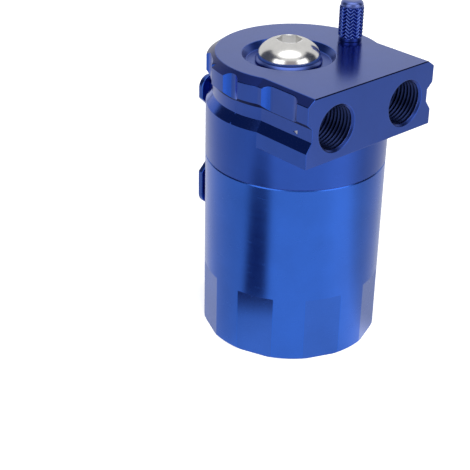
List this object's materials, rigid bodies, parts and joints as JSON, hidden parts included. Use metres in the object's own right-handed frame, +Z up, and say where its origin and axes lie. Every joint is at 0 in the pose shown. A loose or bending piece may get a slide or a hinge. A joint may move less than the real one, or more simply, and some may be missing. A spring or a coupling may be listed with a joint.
{
  "type": "oil catch can",
  "caption": "Round baffled oil catch can: screw-on cup under a machined head with tapped ports, breather plug, dipstick and rear bracket.",
  "frame": {"origin": "on the can's axis, at the plane that the cup stands on", "axes": "+Z up along the can's axis, -Y out of the two ports, +X from the inlet towards the outlet and the dipstick"},
  "size_m": [0.065, 0.07, 0.1211],
  "materials": {
    "cup_blue": "bright blue anodised, turned",
    "head_blue": "satin blue anodised, milled",
    "knob_blue": "blue anodised, knurled",
    "bracket_blue": "satin blue anodised plate",
    "polished_steel": "polished stainless steel",
    "steel": "plain stainless steel",
    "raw_aluminium": "plain milled aluminium",
    "wire_mesh": "knitted stainless wire",
    "rubber_black": "moulded nitrile rubber",
    "copper": "soft copper"
  },
  "bodies": {
    "cup": {"cup": "cup_blue"},
    "cup_seal": {"cup_seal_ring": "rubber_black"},
    "head": {"head": "head_blue", "mounting_bracket": "bracket_blue", "bracket_screw_left": "steel", "bracket_screw_right": "steel", "drop_tube": "raw_aluminium", "baffle_plate": "raw_aluminium", "mesh_pack": "wire_mesh", "mesh_retainer": "raw_aluminium", "baffle_standoff_1": "steel", "baffle_standoff_2": "steel", "baffle_standoff_3": "steel", "baffle_screw_1": "steel", "baffle_screw_2": "steel", "baffle_screw_3": "steel"},
    "plug_washer": {"breather_plug_washer": "head_blue"},
    "plug_bolt": {"breather_plug_bolt": "polished_steel"},
    "dipstick": {"dipstick_knob": "knob_blue", "dipstick_rod": "steel", "dipstick_seal_ring": "rubber_black"},
    "drain_washer": {"drain_washer": "copper"},
    "drain_plug": {"drain_plug": "steel"}
  },
  "joints": [
    {"name": "head_rise", "type": "slide", "parent": "cup", "child": "cup_seal", "axis": [0, 0, 1], "range_m": [0, 0.008]},
    {"name": "head_turn", "type": "hinge", "parent": "cup_seal", "child": "head", "pos_m": [0, 0, 0.0685], "axis": [0, 0, 1], "range_deg": [0, 1440]},
    {"name": "plug_rise", "type": "slide", "parent": "head", "child": "plug_washer", "axis": [0, 0, 1], "range_m": [0, 0.00875]},
    {"name": "plug_turn", "type": "hinge", "parent": "plug_washer", "child": "plug_bolt", "pos_m": [-0.0048, 0.0005, 0.1041], "axis": [0, 0, 1], "range_deg": [0, 1800]},
    {"name": "dipstick_pull", "type": "slide", "parent": "head", "child": "dipstick", "axis": [0, 0, 1], "range_m": [0, 0.097]},
    {"name": "drain_drop", "type": "slide", "parent": "cup", "child": "drain_washer", "axis": [0, 0, -1], "range_m": [0, 0.0035]},
    {"name": "drain_turn", "type": "hinge", "parent": "drain_washer", "child": "drain_plug", "pos_m": [0, 0, 0.0045], "axis": [0, 0, -1], "range_deg": [0, 1008]}
  ],
  "couplings": [
    {"joint": "head_rise", "follows": "head_turn", "m_per_rad": 0.00031831},
    {"joint": "plug_rise", "follows": "plug_turn", "m_per_rad": 0.00027852},
    {"joint": "drain_drop", "follows": "drain_turn", "m_per_rad": 0.00019894}
  ]
}
